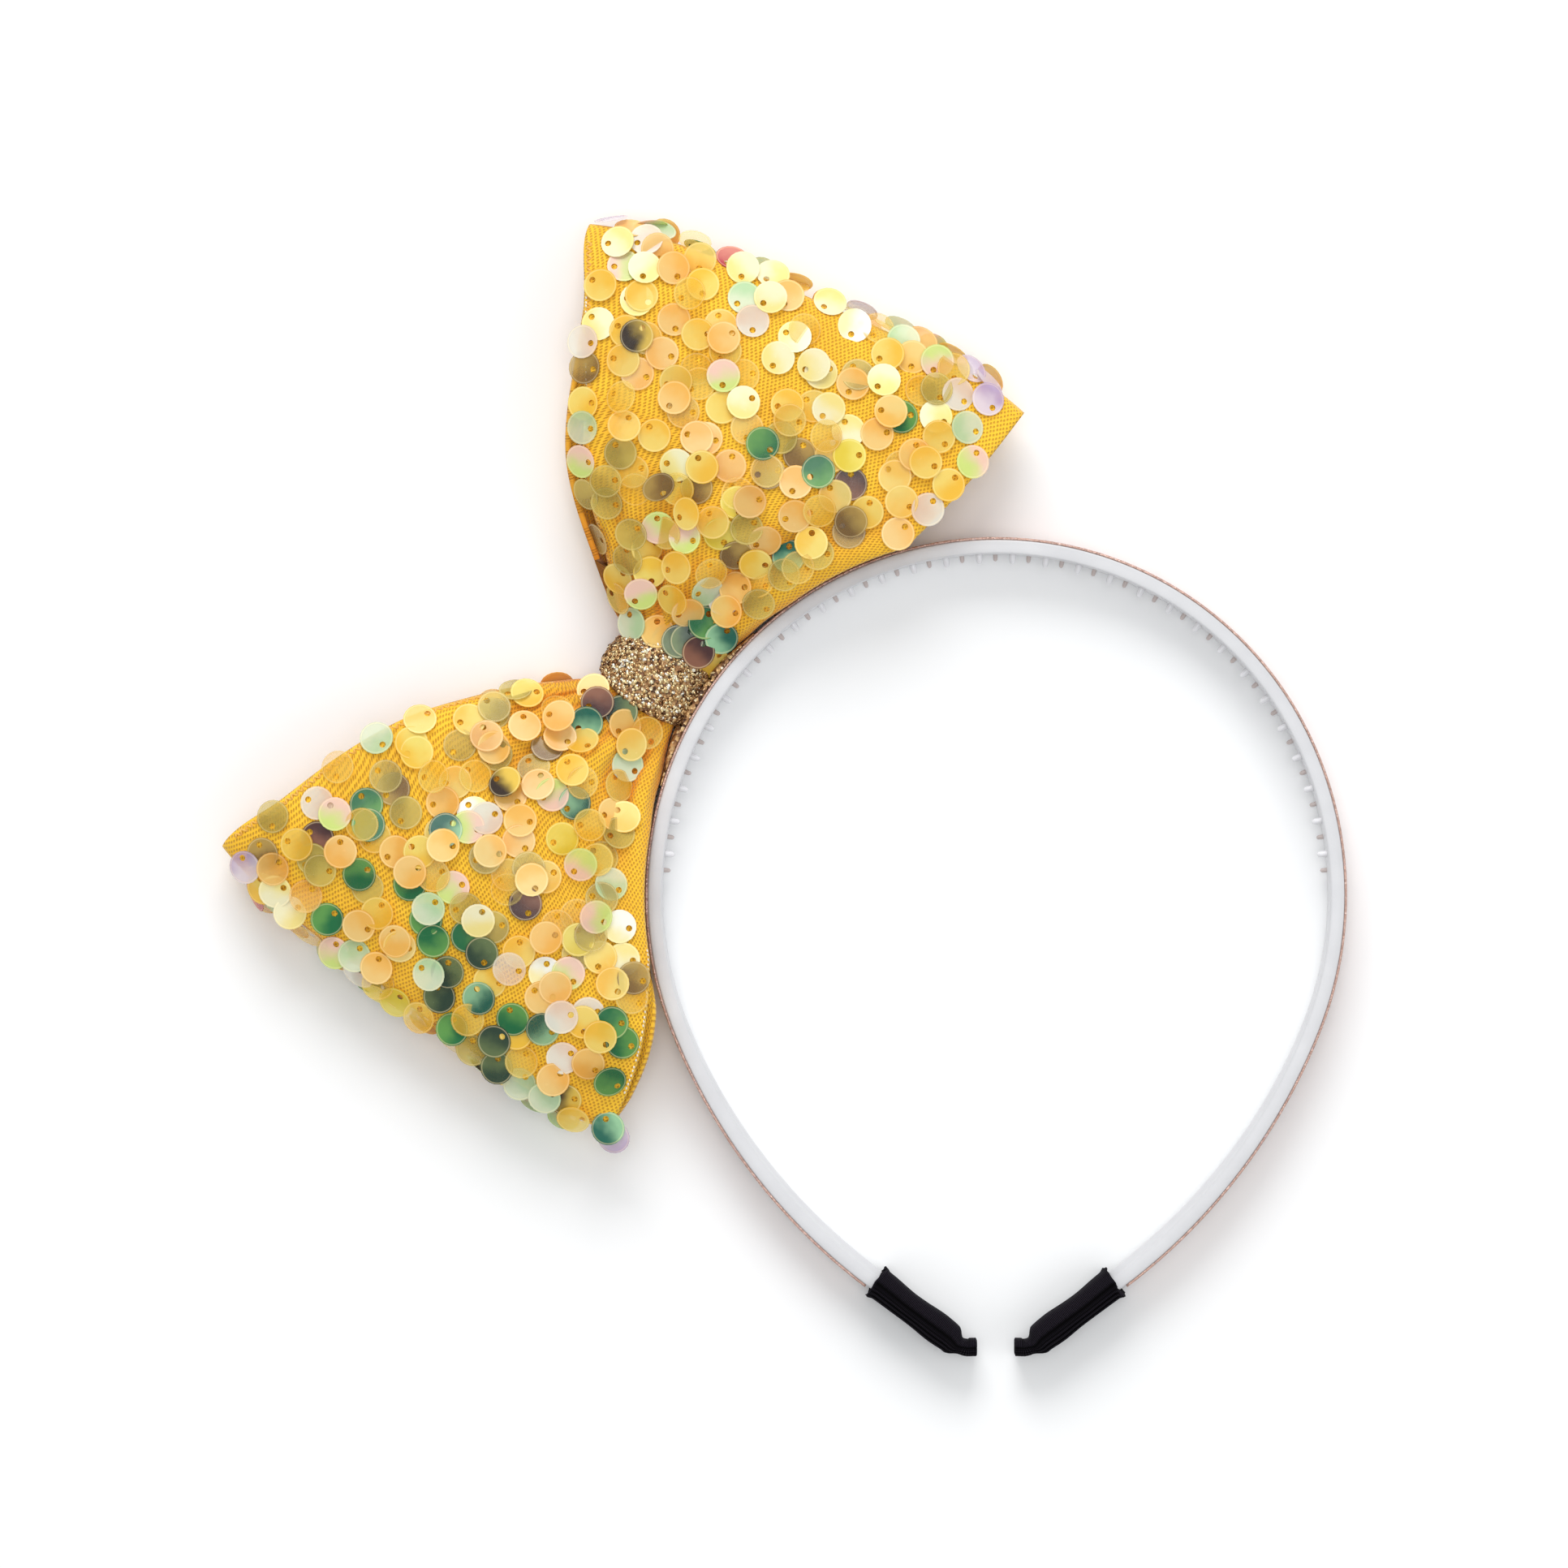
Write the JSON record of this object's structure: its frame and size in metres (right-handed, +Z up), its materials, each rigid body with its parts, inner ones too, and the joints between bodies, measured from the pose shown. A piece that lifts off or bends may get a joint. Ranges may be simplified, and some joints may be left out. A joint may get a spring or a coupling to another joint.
{
  "type": "sequin bow headband",
  "caption": "Flexible alice-style headband with moulded comb teeth, cloth-covered tips and a large gathered sequin bow held by a glitter knot.",
  "frame": {"origin": "middle of the bounding box on the table that the headband lies on", "axes": "+Z up from the table and along the width of the band, +Y towards the crown of the ring, +X away from the bow"},
  "size_m": [0.2, 0.2024, 0.0205],
  "materials": {
    "white_plastic": "smooth semi-gloss moulded",
    "rose_glitter": "fine rose-gold glitter on a cloth strip",
    "black_cloth": "ribbed matte",
    "yellow_cloth": "open knit, sewn all over with iridescent sequins",
    "gold_glitter": "coarse gold glitter on a cloth strip"
  },
  "bodies": {
    "root": {"band": "white_plastic", "band_cover": "rose_glitter", "tip_sleeve_left": "black_cloth", "tip_sleeve_right": "black_cloth", "bow": "yellow_cloth", "bow_knot": "gold_glitter"}
  },
  "joints": []
}
